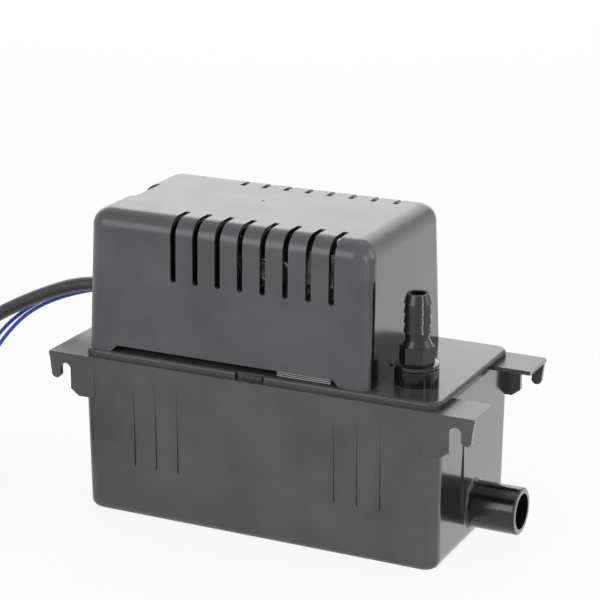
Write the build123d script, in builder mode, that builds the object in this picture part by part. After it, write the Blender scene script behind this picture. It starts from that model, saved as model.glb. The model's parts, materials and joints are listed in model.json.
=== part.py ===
# Condensate pump: a hanging water tank, its lid with the pump below and the motor above,
# a vented cover, a float with its switches, and a barbed check valve on the outlet.
# Millimetres, +Z up. The origin is the bottom centre of the tank, +X points to the drain spigot.
from build123d import *

import os
from math import asin, cos, degrees, pi, radians, sin, sqrt, tan

os.makedirs("parts", exist_ok=True)

# ---- Tank ----
tank_length = 217.0  # outside, at the rim
tank_width = 111.6
tank_height = 93.0
tank_draft_x = 0.6  # the rim stands out this far past the base, each end
tank_draft_y = 1.7
tank_corner_r = 8.5
tank_wall = 2.6
tank_floor = 3.0
base_edge_r = 5.5

fin_pitch = 13.7
fin_inner_x = 48.0  # first of three fins, each side of the middle
fin_thick = 1.2
fin_low_z = 32.0
fin_high_z = 88.0
fin_face_y = tank_width / 2 - 0.15
end_fin_y = -15.0
end_fin_low_z = 21.0
end_fin_high_z = 80.0
end_fin_out = 1.6

# ---- Hanger ears ----
ear_reach = 21.0  # past the tank's end
ear_depth = 26.5  # along the end, on the spigot side
ear_plate = 2.4
hook_plate = 2.7
hook_slot_in = 7.0  # from the tank's end to the slot
hook_slot_width = 6.6
hook_slot_top_z = 87.0
hook_tip_z = 77.4
hook_root_low_z = 68.5
hook_bevel = 5.0
hook_lap = 8.5  # along the tank's own wall

# ---- Drain spigot ----
spigot_r = 13.35
spigot_bore_r = 10.1
spigot_y = 3.0
spigot_z = 20.75
spigot_out = 28.1  # past the tank's end
spigot_root_fillet = 1.8

# ---- Lid ----
lid_width = 107.4
lid_thick = 4.3
lid_corner_r = 8.0
lid_edge_r = 2.0
lid_pocket = 1.7  # the underside is cut away by this much inside the skirt
skirt_drop = 4.0
skirt_wall = 1.8
skirt_draft = 0.2  # taken off each side of the skirt
skirt_clearance = 0.4
pry_notch_x = (-11.7, 6.0)
pry_notch_deep = 2.2
pry_tab_x = (-5.6, 4.1)
pry_tab_out = 1.3
pry_tab_z = (94.2, 96.2)

lid_length = tank_length
lid_low_z = tank_height
lid_top_z = lid_low_z + lid_thick
lid_ceiling_z = lid_low_z + lid_pocket  # what hangs under the lid is fixed to this face

# ---- Small screws ----
screw_r = 1.4
screw_clearance = 0.1
screw_head_r = 2.7
screw_head = 1.8

# ---- Cover ----
cover_x0 = -106.2
cover_x1 = 67.5
cover_width = 104.4
cover_height = 81.0
cover_draft = 1.2
cover_corner_r = 6.0
cover_top_corner_r = 11.0
cover_edge_r = 10.5
cover_wall = 2.5
vent_pitch = 13.65
vent_count = 8
vent_first_x = -50.6
vent_width = 3.3
vent_low_z = 142.4
vent_end_y = 32.5  # the slots run over the edge to here on the top
foot_notch_x = (-90.9, 50.1)
foot_notch_slope = 4.0
foot_notch_high = 3.8
recess_half = 14.0  # half the width of the cable recess
recess_deep = 12.0
recess_low_z = 102.5
cover_boss_r = 4.2
cover_boss_high = 18.0
boss_inset = 6.2
mark_x = -24.2  # a small round gate mark on the top
mark_y = 6.4

cover_mid_x = (cover_x0 + cover_x1) / 2
cover_length = cover_x1 - cover_x0
cover_top_z = lid_top_z + cover_height
recess_face_x = cover_x0 + recess_deep

# ---- Motor ----
shaft_x = 32.0
shaft_y = -9.0
shaft_r = 3.0
bearing_clearance = 0.05
seat_clearance = 0.05  # round pieces set into a seat that holds them
stack_low_z = 106.0
stack_thick = 24.0
stack_x = (3.0, 61.0)
stack_y = (-30.0, 38.0)
window_x = (12.0, 52.0)  # the opening beside the leg that carries the coil
window_y0 = 14.0
rotor_r = 15.2
air_gap = 0.4
groove_wide = 0.4  # each lamination mark on the stack
end_ring = 3.0
bolt_span = 44.0  # between the two long motor screws
bolt_r = 1.8
bolt_clearance = 0.1
boss_grow = 2.7  # screw bosses are this much larger than their screw
bracket_thick = 3.0
bracket_stand = 5.0  # from the stack to the upper bracket's bar
bracket_width = 12.0
pad_r = 6.0
pad_high = 1.0
post_r = 4.0
hub_r = 8.0
hub_high = 6.0
bearing_r = 5.5
bearing_long = 5.0
coil_half_x = 17.0
coil_leg = 12.0  # the stack's leg that carries the coil
coil_build = 7.0  # thickness of the winding round that leg
bobbin_wall = 1.2
fan_r = 25.0
fan_low_z = 146.0
fan_high = 9.0
fan_blades = 7

stack_high_z = stack_low_z + stack_thick
top_bar_z = stack_high_z + bracket_stand
low_bar_z = lid_top_z + pad_high
shaft_top_z = fan_low_z + fan_high + 1.0

# ---- Pump ----
column_r = 9.5
column_bore_r = 6.5
column_flange_r = 16.5
column_flange = 2.5
column_screw_ring = 13.2
volute_r = 25.5
volute_chamber_r = 18.0
volute_low_z = 12.0
volute_high_z = 26.0
volute_roof = 3.0
volute_cover_thick = 3.0
eye_r = 6.5
impeller_r = 15.5
impeller_blades = 6
impeller_z = (14.5, 22.0)
volute_screw_ring = 21.8
foot_gap = 0.3
outlet_z = 18.5
outlet_r = 6.2
outlet_tip_long = 8.0
hose_wall = 1.6
hose_bend_r = 15.0
outlet_bore_r = 3.8
tube_bore_r = 5.0
nipple_long = 10.7

# ---- Outlet riser and check valve ----
riser_x = 85.2
riser_y = -28.2
riser_r = 12.25
riser_high = 10.0
socket_r = 9.0
seat_z = 99.0
seat_bore_r = 3.5
valve_clearance = 0.1
oring_thick = 0.7
flange_r = 12.1
flange_thick = 2.4
hex_flats = 17.0
hex_turn = 11.2
hex_high = 9.4
neck_r = 6.6
shoulder_high = 3.4
barb_low_z = 127.0
barb_pitch = 5.4
barb_rings = 4
barb_crest_r = 7.63
barb_root_r = 6.72
barb_bore_r = 4.25
ball_r = 5.2
ball_travel = 3.5
seat_gap = 0.3
chamber_r = 6.2
lug_reach = 14.6
lug_turn = 205.5
lug_width = 7.0

riser_top_z = lid_top_z + riser_high
flange_low_z = riser_top_z + oring_thick
flange_high_z = flange_low_z + flange_thick
hex_top_z = flange_high_z + hex_high
barb_top_z = barb_low_z + barb_pitch * barb_rings
ball_rest_z = seat_z + sqrt(ball_r**2 - seat_bore_r**2) + seat_gap

# ---- Float and switches ----
float_x = -70.0
float_length = 50.0
float_width = 52.0
float_high = 28.0
float_travel = 16.0
rod_r = 2.5
guide_clearance = 0.06
guide_body_r = 4.9
guide_flange_r = 7.5
guide_flange = 2.0
guide_low_z = 90.0
pivot_x = -22.0
pivot_z = 118.0
fork_slot = 5.6
lever_thick = 2.4
lever_width = 13.0
pin_r = 2.0
pin_clearance = 0.05
lever_hub_r = 4.0
plunger_arm = 6.0  # from the pivot to the switch plungers
plunger_r = 1.5
switch_long = 27.8
switch_high = 15.9
switch_thick = 10.2
switch_low_z = pivot_z + 5.0
switch_split = 0.2  # between the two switches and their bracket
bracket_face_y = 12.0
bracket_sheet = 2.0
bracket_x = (-46.0, -10.0)
bracket_top_z = 142.0
bracket_foot = 18.0
bracket_screw_x = (-38.0, -18.0)

float_low_z = tank_floor + seat_gap
lever_long = pivot_x - float_x
lever_rest = degrees(asin(float_travel / 2 / lever_long))  # tip down when the tank is empty
tip_z = pivot_z - float_travel / 2
collar_gap = 2.4
collar_thick = 2.0
rod_top_z = tip_z + collar_gap + collar_thick + 2.0

# ---- Power cord and safety leads ----
cord_r = 4.25
cord_exit_z = 118.0
relief_long = 21.0
relief_flange_r = 8.0
relief_flange_thick = 2.0
relief_neck_r = 5.9
relief_lock_r = 7.2
relief_tip_r = 5.2
lead_r = 1.2
lead_y = 10.6
lead_z = (118.4, 114.6)
grommet_r = 2.3
grommet_neck_r = 1.9
grommet_out = 2.5
coil_x = -221.8
coil_y = -87.1
coil_turn_r = (38.25, 46.75)  # inner and outer turns
coil_layers = 3
coil_entry = 273.7  # heading of the cord where it joins the coil, degrees
coil_stub = 31.0  # straight cord between the coil's entry and the tube
plug_tail = 32.5  # and between the coil and the plug
plug_r = 12.75
plug_long = 30.0
plug_relief = 20.0
blade_long = 17.0
blade_apart = 12.7
blade_rise = 3.5
ground_drop = 11.9
bare_long = 8.0
bare_r = 0.7

relief_end_x = recess_face_x - relief_long
coil_outer_r = coil_turn_r[1] + cord_r
coil_inner_r = coil_turn_r[0] - cord_r
coil_high = 2 * cord_r * coil_layers
nipple_low_z = lid_ceiling_z - nipple_long
shaft_low_z = impeller_z[0]
hub_low_z = low_bar_z + bracket_thick - hub_high
coil_mid_x = shaft_x
leg_y = (stack_y[1] - coil_leg, stack_y[1])
lid_boss_low_z = 86.0
bolt_xy = [(shaft_x - bolt_span / 2, shaft_y), (shaft_x + bolt_span / 2, shaft_y)]
boss_xy = [
    (x, side * (cover_width / 2 - boss_inset))
    for x in (cover_x0 + boss_inset, cover_x1 - boss_inset)
    for side in (-1, 1)
]
bracket_screw_y = bracket_face_y + bracket_sheet + bracket_foot / 2
bracket_screw_xy = [(x, bracket_screw_y) for x in bracket_screw_x]


def keep(name, builder):
    """Label a finished sub-part and write it."""
    builder.part.label = name
    export_step(builder.part, f"parts/{name}.step")


def cord_path(name, points):
    """Straight runs joined by arcs as large as each pair of runs allows."""
    points = [Vector(*p) for p in points]
    runs = [b - a for a, b in zip(points, points[1:])]
    radii = [
        0.45 * min(a.length, b.length) / tan(radians(a.get_angle(b) / 2))
        for a, b in zip(runs, runs[1:])
    ]
    print(name, "radii", [round(r, 1) for r in radii])
    return FilletPolyline(*points, radius=radii)


def start_plane(points):
    """The plane across a route at its first point."""
    first, second = Vector(*points[0]), Vector(*points[1])
    return Plane(first, z_dir=second - first)


# ---- Tank ----
tank_end = tank_length / 2
spigot_end_x = tank_end + spigot_out
slot_x = tank_end + hook_slot_in
slot_r = hook_slot_width / 2
slot_far_x = slot_x + hook_slot_width
ear_end_x = tank_end + ear_reach
shelf_long = ear_reach + tank_corner_r
cavity_length = tank_length - 2 * tank_wall
cavity_width = tank_width - 2 * tank_wall
cavity_corner_r = tank_corner_r - tank_wall

with BuildPart() as tank:
    with BuildSketch(Plane.XY):
        RectangleRounded(tank_length - 2 * tank_draft_x, tank_width - 2 * tank_draft_y, tank_corner_r)
    with BuildSketch(Plane.XY.offset(tank_height)):
        RectangleRounded(tank_length, tank_width, tank_corner_r)
    loft()
    fillet(tank.faces().sort_by(Axis.Z)[0].edges(), base_edge_r)

    # Hook plates in line with the rim, on both long sides and at both ends
    for plate_low in (tank_width / 2 - hook_plate, -tank_width / 2):
        with BuildSketch(Plane.XZ.offset(plate_low)):
            with BuildLine():
                Polyline(
                    (slot_x, hook_slot_top_z - slot_r),
                    (slot_x, hook_root_low_z + 0.75 * hook_bevel),
                    (slot_x - hook_bevel, hook_root_low_z),
                    (tank_end - hook_lap, hook_root_low_z),
                    (tank_end - hook_lap, tank_height),
                    (ear_end_x, tank_height),
                    (ear_end_x - 1.5, hook_tip_z + 3.6),
                )
                ThreePointArc(
                    (ear_end_x - 1.5, hook_tip_z + 3.6),
                    (ear_end_x - 4.2, hook_tip_z),
                    (slot_far_x, hook_tip_z + 2.4),
                )
                Line((slot_far_x, hook_tip_z + 2.4), (slot_far_x, hook_slot_top_z - slot_r))
                ThreePointArc(
                    (slot_far_x, hook_slot_top_z - slot_r),
                    (slot_x + slot_r, hook_slot_top_z),
                    (slot_x, hook_slot_top_z - slot_r),
                )
            make_face()
            mirror(about=Plane.YZ)
        extrude(amount=hook_plate)

    # Shelves over the hooks: two short ones beside the spigot, one right across the other end
    with Locations(
        (ear_end_x - shelf_long / 2, (ear_depth - tank_width) / 2, tank_height),
        (ear_end_x - shelf_long / 2, (tank_width - ear_depth) / 2, tank_height),
    ):
        Box(shelf_long, ear_depth, ear_plate, align=(Align.CENTER, Align.CENTER, Align.MAX))
    with Locations((shelf_long / 2 - ear_end_x, 0, tank_height)):
        Box(shelf_long, tank_width, ear_plate, align=(Align.CENTER, Align.CENTER, Align.MAX))

    # Stacking fins: their outer edge stands upright while the wall leans away from it
    fin_x = [side * (fin_inner_x + n * fin_pitch) for side in (-1, 1) for n in range(3)]
    fin_root = 3.0
    with Locations(
        *[(x, side * (fin_face_y - fin_root / 2), fin_low_z) for x in fin_x for side in (-1, 1)]
    ):
        Box(fin_thick, fin_root, fin_high_z - fin_low_z, align=(Align.CENTER, Align.CENTER, Align.MIN))
    with BuildSketch(Plane.XZ.offset(-end_fin_y - fin_thick / 2)):
        with BuildLine():
            Polyline(
                (tank_end - tank_wall, end_fin_low_z),
                (tank_end + end_fin_out - tank_draft_x, end_fin_low_z),
                (tank_end - 0.2, end_fin_high_z),
                (tank_end - tank_wall, end_fin_high_z),
                (tank_end - tank_wall, end_fin_low_z),
            )
        make_face()
    extrude(amount=fin_thick)

    # Drain spigot
    with BuildSketch(Plane.YZ.offset(tank_end - tank_wall)):
        with Locations((spigot_y, spigot_z)):
            Circle(spigot_r)
    extrude(amount=spigot_end_x - tank_end + tank_wall)
    root_edges = tank.edges().filter_by(
        lambda e: e.geom_type in (GeomType.ELLIPSE, GeomType.BSPLINE)
        and abs(e.bounding_box().center().Z - spigot_z) < 1
        and abs(e.bounding_box().center().Y - spigot_y) < 1
    )
    fillet(root_edges, spigot_root_fillet)
    fillet(tank.faces().sort_by(Axis.X)[-1].edges(), 1.2)

    # Hollow, leaning with the walls, and the drain bore
    with BuildSketch(Plane.XY.offset(tank_floor)):
        RectangleRounded(
            cavity_length - 2 * tank_draft_x, cavity_width - 2 * tank_draft_y, cavity_corner_r
        )
    with BuildSketch(Plane.XY.offset(tank_height)):
        RectangleRounded(cavity_length, cavity_width, cavity_corner_r)
    loft(mode=Mode.SUBTRACT)
    with BuildSketch(Plane.YZ.offset(tank_end - 2 * tank_wall)):
        with Locations((spigot_y, spigot_z)):
            Circle(spigot_bore_r)
    extrude(amount=spigot_end_x, mode=Mode.SUBTRACT)
keep("tank", tank)

# ---- Lid ----
skirt_length = cavity_length - 2 * skirt_clearance
skirt_width = cavity_width - 2 * skirt_clearance
skirt_corner_r = cavity_corner_r - skirt_clearance / 2
hub_hole_r = hub_r + 0.6

with BuildPart() as lid:
    with BuildSketch(Plane.XY.offset(lid_low_z)):
        RectangleRounded(lid_length, lid_width, lid_corner_r)
    extrude(amount=lid_thick)
    fillet(lid.faces().sort_by(Axis.Z)[-1].edges(), lid_edge_r)
    # Locating skirt and the shallow pocket inside it
    with BuildSketch(Plane.XY.offset(lid_low_z - skirt_drop)):
        RectangleRounded(skirt_length - 2 * tank_draft_x, skirt_width - 2 * skirt_draft, skirt_corner_r)
    extrude(amount=skirt_drop)
    with BuildSketch(Plane.XY.offset(lid_low_z - skirt_drop)):
        RectangleRounded(
            skirt_length - 2 * tank_draft_x - 2 * skirt_wall,
            skirt_width - 2 * (skirt_draft + skirt_wall),
            skirt_corner_r - skirt_wall / 2,
        )
    extrude(amount=skirt_drop + lid_pocket, mode=Mode.SUBTRACT)
    # Pry notches in both long edges, each with a tab left inside
    notch_mid = sum(pry_notch_x) / 2
    notch_wide = pry_notch_x[1] - pry_notch_x[0]
    tab_mid = sum(pry_tab_x) / 2
    tab_wide = pry_tab_x[1] - pry_tab_x[0]
    with Locations((notch_mid, -lid_width / 2, lid_top_z), (notch_mid, lid_width / 2, lid_top_z)):
        Box(
            notch_wide, 2 * pry_notch_deep, lid_thick,
            align=(Align.CENTER, Align.CENTER, Align.MAX), mode=Mode.SUBTRACT,
        )
    tab_y = lid_width / 2 - pry_notch_deep
    with Locations((tab_mid, -tab_y, pry_tab_z[0]), (tab_mid, tab_y, pry_tab_z[0])):
        Box(
            tab_wide, 2 * pry_tab_out, pry_tab_z[1] - pry_tab_z[0],
            align=(Align.CENTER, Align.CENTER, Align.MIN),
        )
    # Riser for the check valve above, nipple for the discharge tube below
    with BuildSketch(Plane.XY.offset(nipple_low_z)):
        with Locations((riser_x, riser_y)):
            Circle(tube_bore_r)
    extrude(amount=lid_ceiling_z - nipple_low_z)
    with BuildSketch(Plane.XY.offset(lid_ceiling_z)):
        with Locations((riser_x, riser_y)):
            Circle(riser_r)
    extrude(amount=riser_top_z - lid_ceiling_z)
    fillet(lid.faces().sort_by(Axis.Z)[-1].edges(), 0.7)
    # Pads and bosses for the motor screws
    with BuildSketch(Plane.XY.offset(lid_ceiling_z)):
        with Locations(*bolt_xy):
            Circle(pad_r)
    extrude(amount=low_bar_z - lid_ceiling_z)
    with BuildSketch(Plane.XY.offset(lid_boss_low_z)):
        with Locations(*bolt_xy):
            Circle(bolt_r + boss_grow)
    extrude(amount=lid_ceiling_z - lid_boss_low_z)
    # Bores
    with BuildSketch(Plane.XY.offset(seat_z)):
        with Locations((riser_x, riser_y)):
            Circle(socket_r)
    extrude(amount=riser_high, mode=Mode.SUBTRACT)
    with BuildSketch(Plane.XY.offset(nipple_low_z)):
        with Locations((riser_x, riser_y)):
            Circle(seat_bore_r)
    extrude(amount=seat_z - nipple_low_z, mode=Mode.SUBTRACT)
    with BuildSketch(Plane.XY.offset(lid_boss_low_z)):
        with Locations(*bolt_xy):
            Circle(bolt_r + bolt_clearance)
        with Locations((shaft_x, shaft_y)):
            Circle(hub_hole_r)
        with Locations((float_x, 0)):
            Circle(guide_body_r + screw_clearance)
        with Locations(*boss_xy, *bracket_screw_xy):
            Circle(screw_r + screw_clearance)
        with Locations((shaft_x, shaft_y)):
            with PolarLocations(column_screw_ring, 3, start_angle=90):
                Circle(screw_r + screw_clearance)
    extrude(amount=riser_top_z - lid_boss_low_z, mode=Mode.SUBTRACT)
keep("lid", lid)

# ---- Cover ----
cover_in_length = cover_length - 2 * cover_wall
cover_in_width = cover_width - 2 * cover_wall
cover_ceiling_z = cover_top_z - cover_wall
recess_back_x = recess_face_x + cover_wall
vent_x = [vent_first_x + n * vent_pitch for n in range(vent_count)]
lead_mid_z = sum(lead_z) / 2
lead_gap = lead_z[0] - lead_z[1]

# The room inside: a smaller loft, less the recess's walls and the screw bosses
with BuildPart() as cover_room:
    with BuildSketch(Plane((cover_mid_x, 0, lid_top_z))):
        RectangleRounded(cover_in_length, cover_in_width, cover_corner_r - cover_wall)
    with BuildSketch(Plane((cover_mid_x, 0, cover_ceiling_z))):
        RectangleRounded(
            cover_in_length - 2 * cover_draft,
            cover_in_width - 2 * cover_draft,
            cover_top_corner_r - cover_wall,
        )
    loft()
    fillet(cover_room.faces().sort_by(Axis.Z)[-1].edges(), cover_edge_r - cover_wall)
    with Locations((recess_back_x, 0, recess_low_z - cover_wall)):
        Box(
            2 * recess_deep, 2 * (recess_half + cover_wall), cover_height,
            align=(Align.MAX, Align.CENTER, Align.MIN), mode=Mode.SUBTRACT,
        )
    with BuildSketch(Plane.XY.offset(lid_top_z)):
        with Locations(*boss_xy):
            Circle(cover_boss_r)
    extrude(amount=cover_boss_high, mode=Mode.SUBTRACT)

with BuildPart() as cover:
    with BuildSketch(Plane((cover_mid_x, 0, lid_top_z))):
        RectangleRounded(cover_length, cover_width, cover_corner_r)
    with BuildSketch(Plane((cover_mid_x, 0, cover_top_z))):
        RectangleRounded(
            cover_length - 2 * cover_draft, cover_width - 2 * cover_draft, cover_top_corner_r
        )
    loft()
    fillet(cover.faces().sort_by(Axis.Z)[-1].edges(), cover_edge_r)
    add(cover_room.part, mode=Mode.SUBTRACT)
    # Cable recess, open at the end and the top
    with Locations((recess_face_x, 0, recess_low_z)):
        Box(
            2 * recess_deep, 2 * recess_half, cover_height,
            align=(Align.MAX, Align.CENTER, Align.MIN), mode=Mode.SUBTRACT,
        )
    with BuildSketch(Plane.YZ.offset(recess_face_x)):
        with Locations((0, cord_exit_z)):
            Circle(relief_neck_r + screw_clearance)
        with Locations((lead_y, lead_mid_z)):
            SlotCenterToCenter(lead_gap, 2 * (grommet_neck_r + screw_clearance), rotation=90)
    extrude(amount=cover_wall, mode=Mode.SUBTRACT)
    # Vents: each slot climbs a long side and runs over the edge on to the top
    vent_long = cover_top_z + vent_width - vent_low_z
    for vent_face in (-vent_end_y - vent_long, vent_end_y):
        with BuildSketch(Plane.XZ.offset(vent_face)):
            with Locations(*[(x, vent_low_z + vent_long / 2) for x in vent_x]):
                SlotOverall(vent_long, vent_width, rotation=90)
        extrude(amount=vent_long, mode=Mode.SUBTRACT)
    # Foot notches under the long sides
    with BuildSketch(Plane.XZ.offset(-cover_width)):
        with BuildLine():
            Polyline(
                (foot_notch_x[0], lid_top_z),
                (foot_notch_x[0] + foot_notch_slope, lid_top_z + foot_notch_high),
                (foot_notch_x[1] - foot_notch_slope, lid_top_z + foot_notch_high),
                (foot_notch_x[1], lid_top_z),
                (foot_notch_x[0], lid_top_z),
            )
        make_face()
    extrude(amount=2 * cover_width, mode=Mode.SUBTRACT)
    with BuildSketch(Plane.XY.offset(lid_top_z)):
        with Locations(*boss_xy):
            Circle(screw_r + seat_clearance)
    extrude(amount=cover_boss_high - cover_wall, mode=Mode.SUBTRACT)
    with Locations((mark_x, mark_y, cover_top_z)):
        Hole(radius=1.0, depth=0.4)
keep("cover", cover)

with BuildPart() as cover_screws:
    with BuildSketch(Plane.XY.offset(lid_ceiling_z - screw_head)):
        with Locations(*boss_xy):
            Circle(screw_head_r)
    extrude(amount=screw_head)
    with BuildSketch(Plane.XY.offset(lid_ceiling_z)):
        with Locations(*boss_xy):
            Circle(screw_r)
    extrude(amount=lid_top_z - lid_ceiling_z + cover_boss_high - 2 * cover_wall)
keep("cover_screws", cover_screws)

# ---- Motor ----
stack_mid_x = sum(stack_x) / 2
stack_mid_y = sum(stack_y) / 2
window_mid = ((window_x[0] + window_x[1]) / 2, (window_y0 + leg_y[0]) / 2)
with BuildPart() as stator_stack:
    with BuildSketch(Plane.XY.offset(stack_low_z)):
        with Locations((stack_mid_x, stack_mid_y)):
            RectangleRounded(stack_x[1] - stack_x[0], stack_y[1] - stack_y[0], 1.5)
        with Locations((shaft_x, shaft_y)):
            Circle(rotor_r + air_gap, mode=Mode.SUBTRACT)
        with Locations(window_mid):
            Rectangle(window_x[1] - window_x[0], leg_y[0] - window_y0, mode=Mode.SUBTRACT)
        with Locations(*bolt_xy):
            Circle(bolt_r + bolt_clearance, mode=Mode.SUBTRACT)
    extrude(amount=stack_thick)
    # Fine grooves round the outside mark the laminations
    for groove in range(1, 6):
        with BuildSketch(Plane.XY.offset(stack_low_z + groove * stack_thick / 6)):
            with Locations((stack_mid_x, stack_mid_y)):
                RectangleRounded(stack_x[1] - stack_x[0] + 2, stack_y[1] - stack_y[0] + 2, 1.5)
                RectangleRounded(
                    stack_x[1] - stack_x[0] - 0.8, stack_y[1] - stack_y[0] - 0.8, 1.1,
                    mode=Mode.SUBTRACT,
                )
        extrude(amount=groove_wide, mode=Mode.SUBTRACT)
keep("stator_stack", stator_stack)

bobbin_gap = 0.2
bobbin_in = (coil_leg + 2 * bobbin_gap, stack_thick + 2 * bobbin_gap)
bobbin_out = (bobbin_in[0] + 2 * bobbin_wall, bobbin_in[1] + 2 * bobbin_wall)
coil_out = (bobbin_out[0] + 2 * coil_build, bobbin_out[1] + 2 * coil_build)
leg_mid = (sum(leg_y) / 2, stack_low_z + stack_thick / 2)
with BuildPart() as coil_bobbin:
    with BuildSketch(Plane.YZ.offset(coil_mid_x - coil_half_x)):
        with Locations(leg_mid):
            RectangleRounded(*bobbin_out, 1.0)
    extrude(amount=2 * coil_half_x)
    for cheek_x in (coil_mid_x - coil_half_x - bobbin_wall, coil_mid_x + coil_half_x):
        with BuildSketch(Plane.YZ.offset(cheek_x)):
            with Locations(leg_mid):
                RectangleRounded(*coil_out, 4.0)
        extrude(amount=bobbin_wall)
    with BuildSketch(Plane.YZ.offset(coil_mid_x - 2 * coil_half_x)):
        with Locations(leg_mid):
            Rectangle(*bobbin_in)
    extrude(amount=4 * coil_half_x, mode=Mode.SUBTRACT)
keep("coil_bobbin", coil_bobbin)

with BuildPart() as motor_coil:
    with BuildSketch(Plane.YZ.offset(coil_mid_x - coil_half_x)):
        with Locations(leg_mid):
            RectangleRounded(coil_out[0] - 0.6, coil_out[1] - 0.6, 6.0)
            RectangleRounded(*[size + 2 * seat_clearance for size in bobbin_out], 1.0, mode=Mode.SUBTRACT)
    extrude(amount=2 * coil_half_x)
keep("motor_coil", motor_coil)

# Copper shading rings round one tip of each pole
ring_wire_r = 1.0
ring_side_x = 19.0
with BuildPart() as shading_rings:
    for side in (-1, 1):
        ring_x = shaft_x + side * ring_side_x
        for ring_z in (stack_low_z - 2 * ring_wire_r, stack_high_z):
            with Locations((ring_x, shaft_y + side * 12.0, ring_z)):
                Box(
                    9.0, 6.0, 2 * ring_wire_r,
                    align=(Align.CENTER, Align.CENTER, Align.MIN),
                )
                Box(
                    9.0 - 4 * ring_wire_r, 6.0 - 4 * ring_wire_r, 2 * ring_wire_r,
                    align=(Align.CENTER, Align.CENTER, Align.MIN), mode=Mode.SUBTRACT,
                )
keep("shading_rings", shading_rings)

with BuildPart() as rotor:
    with BuildSketch(Plane.XZ.offset(-shaft_y)):
        with BuildLine():
            Polyline(
                (shaft_x + shaft_r + seat_clearance, stack_low_z - end_ring),
                (shaft_x + rotor_r - 0.7, stack_low_z - end_ring),
                (shaft_x + rotor_r - 0.7, stack_low_z),
                (shaft_x + rotor_r, stack_low_z),
                (shaft_x + rotor_r, stack_high_z),
                (shaft_x + rotor_r - 0.7, stack_high_z),
                (shaft_x + rotor_r - 0.7, stack_high_z + end_ring),
                (shaft_x + shaft_r + seat_clearance, stack_high_z + end_ring),
                (shaft_x + shaft_r + seat_clearance, stack_low_z - end_ring),
            )
        make_face()
    revolve(axis=Axis((shaft_x, shaft_y, 0), (0, 0, 1)))
keep("rotor", rotor)

with BuildPart() as motor_shaft:
    with BuildSketch(Plane.XY.offset(shaft_low_z)):
        with Locations((shaft_x, shaft_y)):
            Circle(shaft_r)
    extrude(amount=shaft_top_z - shaft_low_z)
    chamfer(motor_shaft.edges().filter_by(GeomType.CIRCLE), 0.4)
keep("motor_shaft", motor_shaft)

with BuildPart() as upper_bracket:
    with BuildSketch(Plane.XY.offset(top_bar_z)):
        with Locations((shaft_x, shaft_y)):
            SlotCenterToCenter(bolt_span, bracket_width)
    extrude(amount=bracket_thick)
    with BuildSketch(Plane.XY.offset(stack_high_z)):
        with Locations(*bolt_xy):
            Circle(post_r)
    extrude(amount=bracket_stand)
    with BuildSketch(Plane.XY.offset(top_bar_z)):
        with Locations((shaft_x, shaft_y)):
            Circle(hub_r)
    extrude(amount=hub_high)
    fillet(upper_bracket.faces().sort_by(Axis.Z)[-1].edges(), 0.8)
    with BuildSketch(Plane.XY.offset(top_bar_z)):
        with Locations((shaft_x, shaft_y)):
            Circle(bearing_r + seat_clearance)
    extrude(amount=hub_high, mode=Mode.SUBTRACT)
    with BuildSketch(Plane.XY.offset(stack_high_z)):
        with Locations(*bolt_xy):
            Circle(bolt_r + bolt_clearance)
    extrude(amount=bracket_stand + bracket_thick, mode=Mode.SUBTRACT)
keep("upper_bracket", upper_bracket)

with BuildPart() as lower_bracket:
    with BuildSketch(Plane.XY.offset(low_bar_z)):
        with Locations((shaft_x, shaft_y)):
            SlotCenterToCenter(bolt_span, bracket_width)
    extrude(amount=bracket_thick)
    with BuildSketch(Plane.XY.offset(low_bar_z)):
        with Locations(*bolt_xy):
            Circle(post_r)
    extrude(amount=stack_low_z - low_bar_z)
    with BuildSketch(Plane.XY.offset(hub_low_z)):
        with Locations((shaft_x, shaft_y)):
            Circle(hub_r)
    extrude(amount=hub_high)
    with BuildSketch(Plane.XY.offset(hub_low_z)):
        with Locations((shaft_x, shaft_y)):
            Circle(bearing_r + seat_clearance)
        with Locations(*bolt_xy):
            Circle(bolt_r + bolt_clearance)
    extrude(amount=stack_low_z - hub_low_z, mode=Mode.SUBTRACT)
keep("lower_bracket", lower_bracket)

with BuildPart() as upper_bearing:
    with BuildSketch(Plane.XY.offset(top_bar_z + (hub_high - bearing_long) / 2)):
        with Locations((shaft_x, shaft_y)):
            Circle(bearing_r)
            Circle(shaft_r + bearing_clearance, mode=Mode.SUBTRACT)
    extrude(amount=bearing_long)
keep("upper_bearing", upper_bearing)

with BuildPart() as lower_bearing:
    with BuildSketch(Plane.XY.offset(hub_low_z + (hub_high - bearing_long) / 2)):
        with Locations((shaft_x, shaft_y)):
            Circle(bearing_r)
            Circle(shaft_r + bearing_clearance, mode=Mode.SUBTRACT)
    extrude(amount=bearing_long)
keep("lower_bearing", lower_bearing)

bolt_head_r = 3.3
bolt_head = 2.6
with BuildPart() as motor_screws:
    with BuildSketch(Plane.XY.offset(lid_boss_low_z)):
        with Locations(*bolt_xy):
            Circle(bolt_r)
    extrude(amount=top_bar_z + bracket_thick - lid_boss_low_z)
    with BuildSketch(Plane.XY.offset(top_bar_z + bracket_thick)):
        with Locations(*bolt_xy):
            Circle(bolt_head_r)
    extrude(amount=bolt_head)
    fillet(motor_screws.faces().group_by(Axis.Z)[-1].edges(), 0.8)
    with Locations(*[(x, y, top_bar_z + bracket_thick + bolt_head) for x, y in bolt_xy]):
        Box(
            2 * bolt_head_r, 0.9, 1.1,
            align=(Align.CENTER, Align.CENTER, Align.MAX), mode=Mode.SUBTRACT,
        )
keep("motor_screws", motor_screws)

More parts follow.
